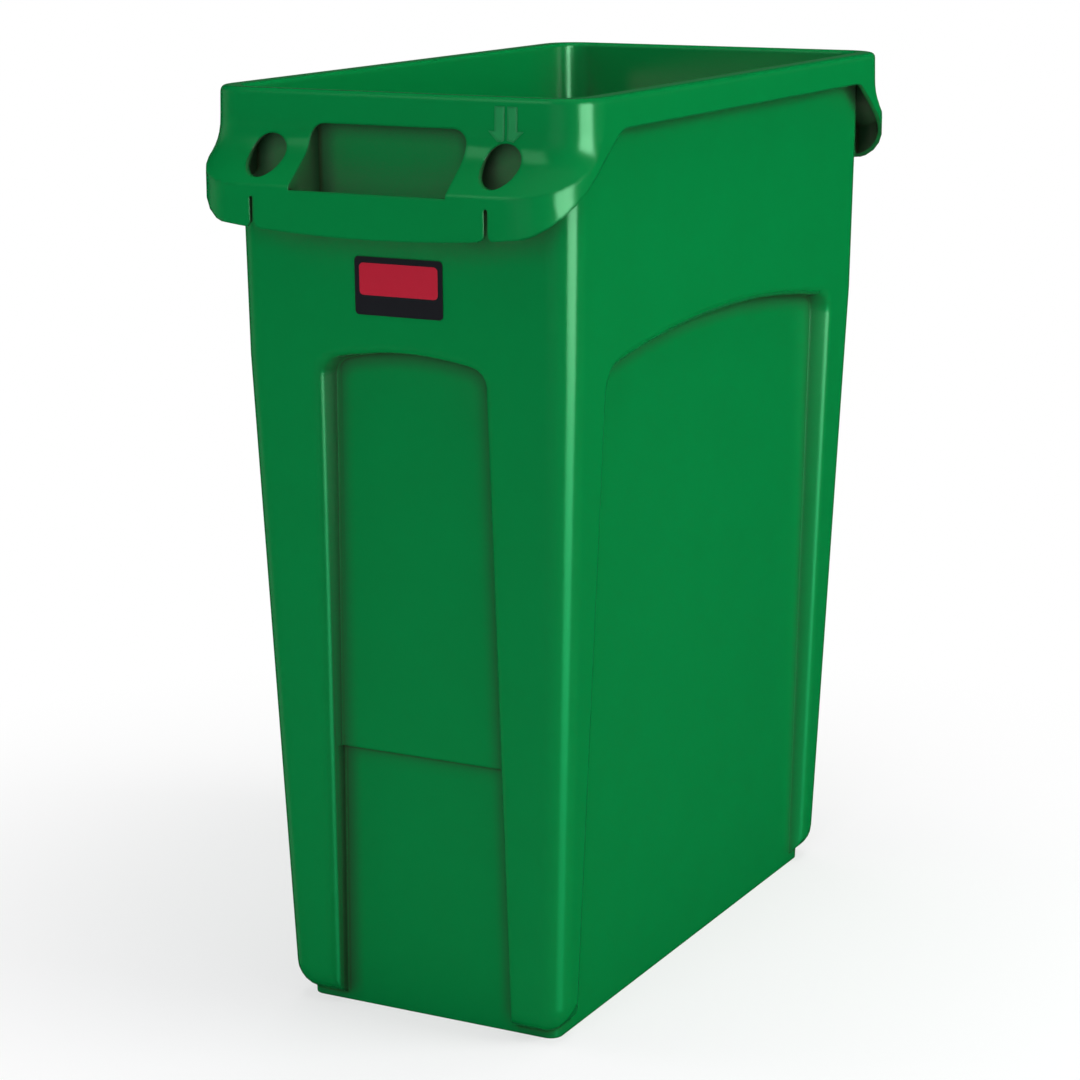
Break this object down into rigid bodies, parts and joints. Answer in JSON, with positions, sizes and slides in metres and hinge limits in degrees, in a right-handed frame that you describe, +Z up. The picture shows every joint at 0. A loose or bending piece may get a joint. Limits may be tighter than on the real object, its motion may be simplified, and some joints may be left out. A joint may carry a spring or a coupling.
{
  "type": "trash receptacle",
  "caption": "Tall, narrow open-topped refuse receptacle with tapering recessed walls, a rolled rim band, an open grip handle at each end, liner cinches and a front label.",
  "frame": {"origin": "centre of the receptacle's footprint, on the floor", "axes": "+Z up; +X across the narrow width; +Y along the length; the label is on the -Y end"},
  "size_m": [0.2794, 0.568, 0.635],
  "materials": {
    "body_plastic": "satin injection-moulded polyethylene, green",
    "label_film": "printed plastic label, charcoal with a plain red panel"
  },
  "bodies": {
    "root": {"receptacle_body": "body_plastic", "front_label": "label_film"}
  },
  "joints": []
}
